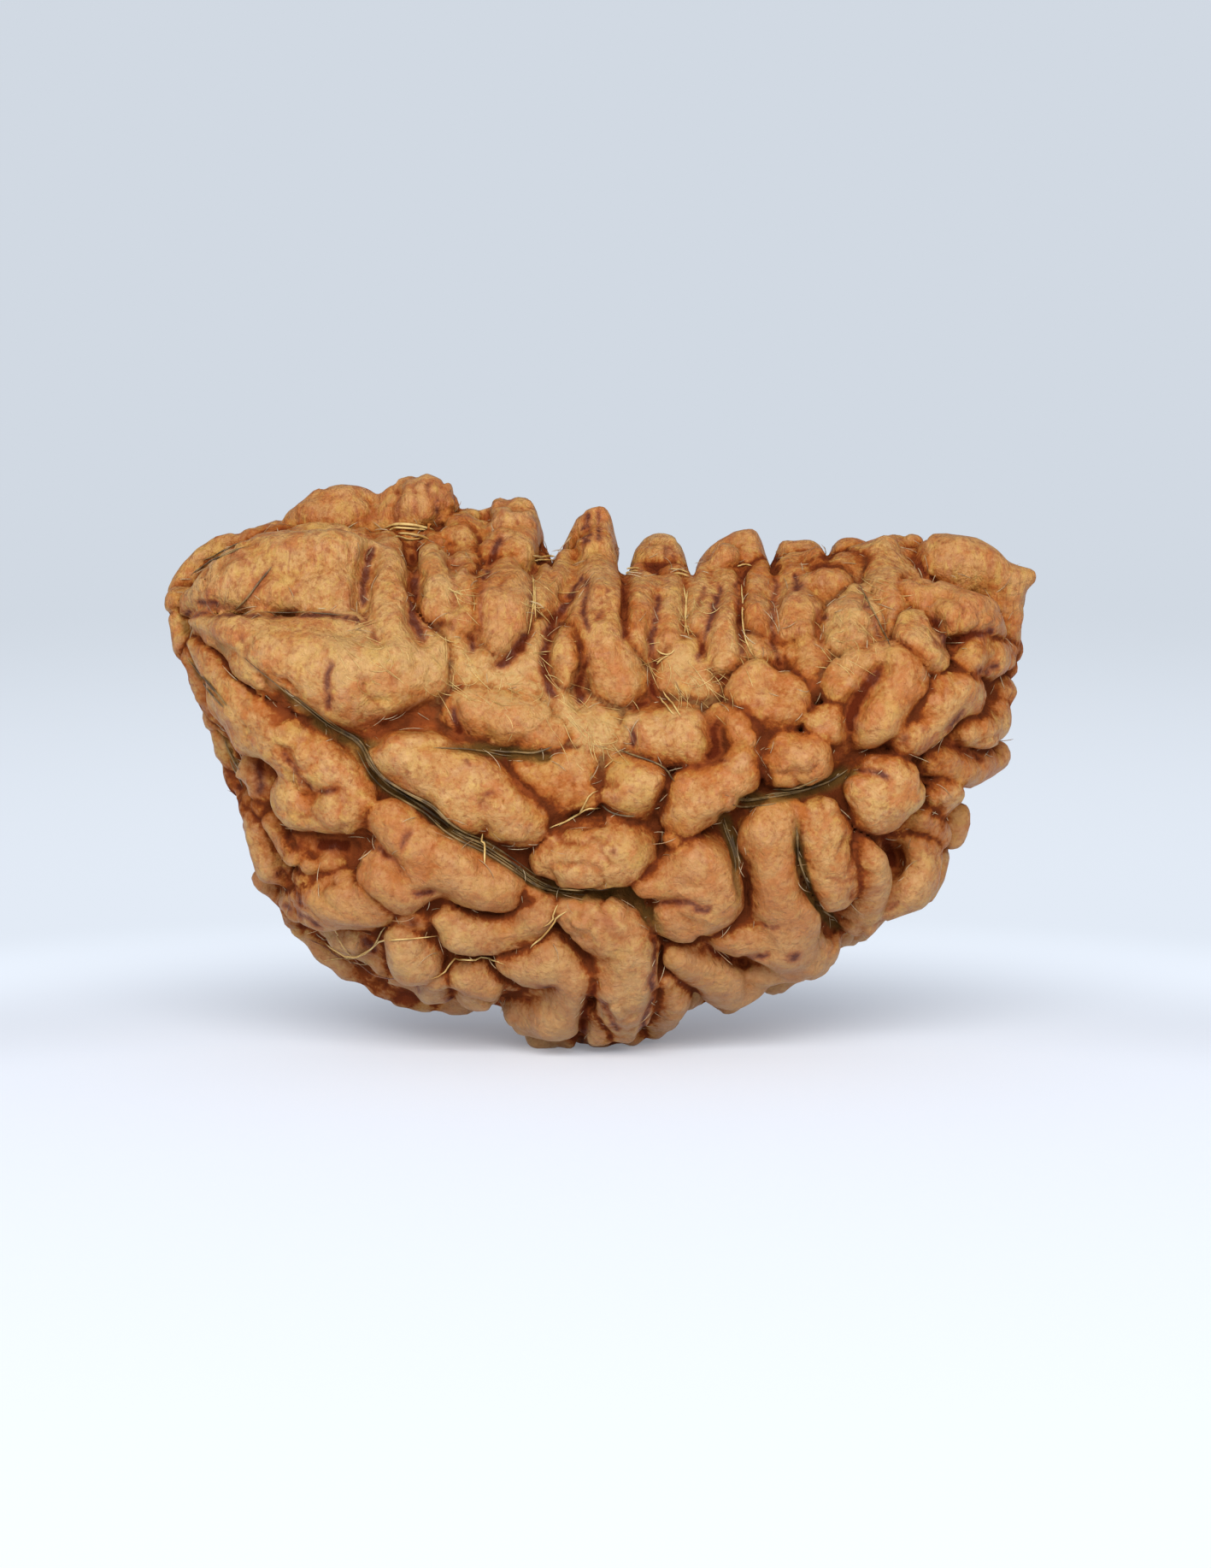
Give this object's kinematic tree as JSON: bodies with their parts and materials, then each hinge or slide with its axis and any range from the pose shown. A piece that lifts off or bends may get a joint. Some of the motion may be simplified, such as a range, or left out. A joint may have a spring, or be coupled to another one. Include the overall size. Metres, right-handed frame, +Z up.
{
  "type": "one-faced rudraksha seed",
  "caption": "Half-moon seed stone with a lobed, deeply grooved surface, a toothed seam along its concave upper edge and a small flat spot to rest on",
  "frame": {"origin": "on the floor plane, in the flat spot under the seed, near the middle of its length and on the mid plane of its thickness", "axes": "+X along the seed towards its blunt end, +Y out of the hidden face (the picture shows the -Y face), +Z up from the flat spot to the seam"},
  "size_m": [0.0276, 0.0116, 0.0186],
  "materials": {
    "seed_stone": "satin"
  },
  "bodies": {
    "root": {"rudraksha_seed": "seed_stone"}
  },
  "joints": []
}
